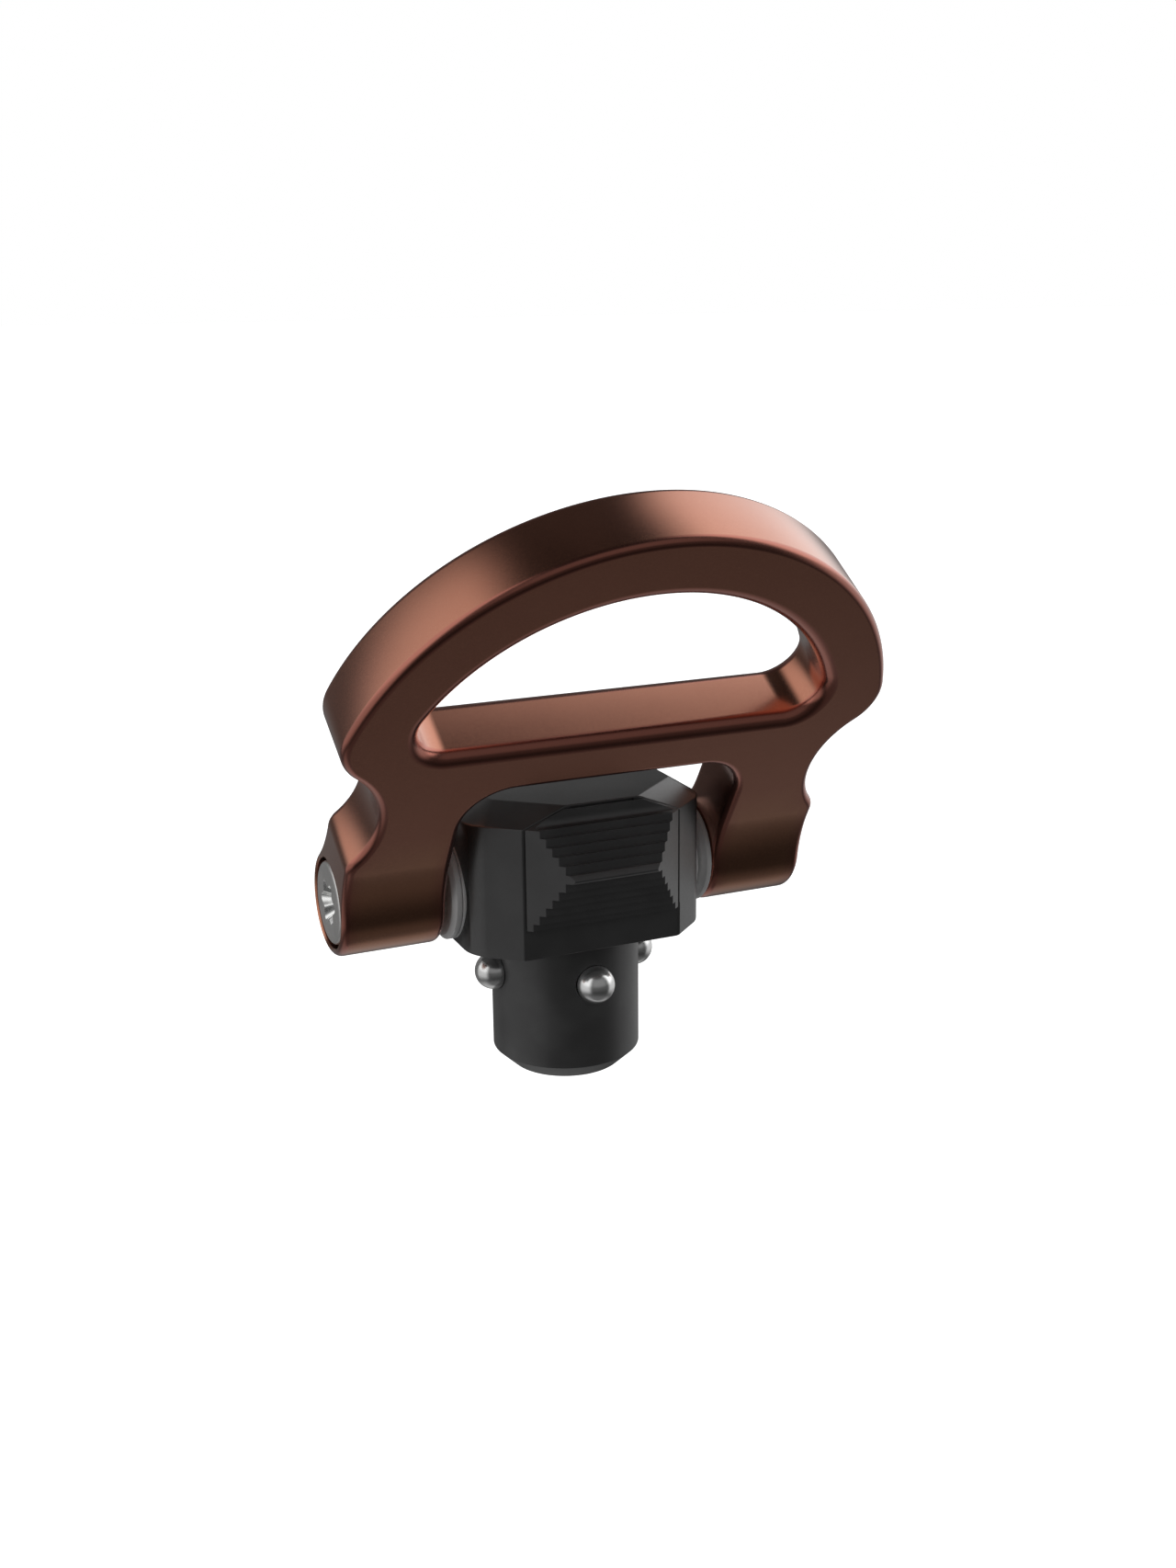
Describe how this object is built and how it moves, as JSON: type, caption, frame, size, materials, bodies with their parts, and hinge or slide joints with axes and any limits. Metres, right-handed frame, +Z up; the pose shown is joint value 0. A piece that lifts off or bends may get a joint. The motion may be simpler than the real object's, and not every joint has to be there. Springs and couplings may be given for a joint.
{
  "type": "ball-lock swivel ring",
  "caption": "Small quick-release swivel ring: a copper-coloured hinged loop on a black block that turns on a plug-in stud held by spring-loaded locking balls.",
  "frame": {"origin": "on the stud's axis at the level of the block's seat face", "axes": "+Z up along the stud towards the block, X along the loop's hinge axis, -Y towards the front finger pad"},
  "size_m": [0.0338, 0.0256, 0.0382],
  "materials": {
    "copper": "copper-coloured anodised aluminium, satin",
    "black": "black oxide finish on machined steel, satin",
    "black_stud": "black oxide finish on turned steel, fine turning marks",
    "steel": "bright turned stainless steel",
    "ball_steel": "polished bearing-ball steel",
    "spring_steel": "drawn spring wire",
    "bronze": "plain bearing bronze"
  },
  "bodies": {
    "stud": {"stud_sleeve": "black_stud", "snap_ring": "spring_steel"},
    "ball_right": {"lock_ball_right": "ball_steel"},
    "ball_rear": {"lock_ball_rear": "ball_steel"},
    "ball_left": {"lock_ball_left": "ball_steel"},
    "ball_front": {"lock_ball_front": "ball_steel"},
    "block": {"swivel_block": "black", "pivot_screw_left": "steel", "pivot_screw_right": "steel", "washer_left": "steel", "washer_right": "steel", "disc_spring_left": "steel", "disc_spring_right": "steel"},
    "loop_body": {"loop": "copper", "pivot_bush_left": "bronze", "pivot_bush_right": "bronze"},
    "release": {"finger_pad_front": "black", "finger_pad_rear": "black", "cross_pin": "steel", "plunger": "steel", "return_spring": "spring_steel"}
  },
  "joints": [
    {"name": "block_swivel", "type": "hinge", "parent": "stud", "child": "block", "pos_m": [0, 0, 0], "axis": [0, 0, 1], "continuous": true},
    {"name": "loop_hinge", "type": "hinge", "parent": "block", "child": "loop_body", "pos_m": [0, 0, 0.00335], "axis": [1, 0, 0], "range_deg": [-122.5, 57.5]},
    {"name": "release_slide", "type": "slide", "parent": "block", "child": "release", "axis": [0, 0, 1], "range_m": [0, 0.00175], "stiffness_N_per_m": 700, "springref_m": -0.002, "deforming": ["return_spring"]},
    {"name": "ball_right_slide", "type": "slide", "parent": "stud", "child": "ball_right", "axis": [1, 0, 0], "range_m": [-0.00142, 0]},
    {"name": "ball_rear_slide", "type": "slide", "parent": "stud", "child": "ball_rear", "axis": [0, 1, 0], "range_m": [-0.00142, 0]},
    {"name": "ball_left_slide", "type": "slide", "parent": "stud", "child": "ball_left", "axis": [-1, 0, 0], "range_m": [-0.00142, 0]},
    {"name": "ball_front_slide", "type": "slide", "parent": "stud", "child": "ball_front", "axis": [0, -1, 0], "range_m": [-0.00142, 0]}
  ],
  "couplings": [
    {"joint": "ball_right_slide", "follows": "release_slide", "ratio": -0.8},
    {"joint": "ball_rear_slide", "follows": "release_slide", "ratio": -0.8},
    {"joint": "ball_left_slide", "follows": "release_slide", "ratio": -0.8},
    {"joint": "ball_front_slide", "follows": "release_slide", "ratio": -0.8}
  ]
}
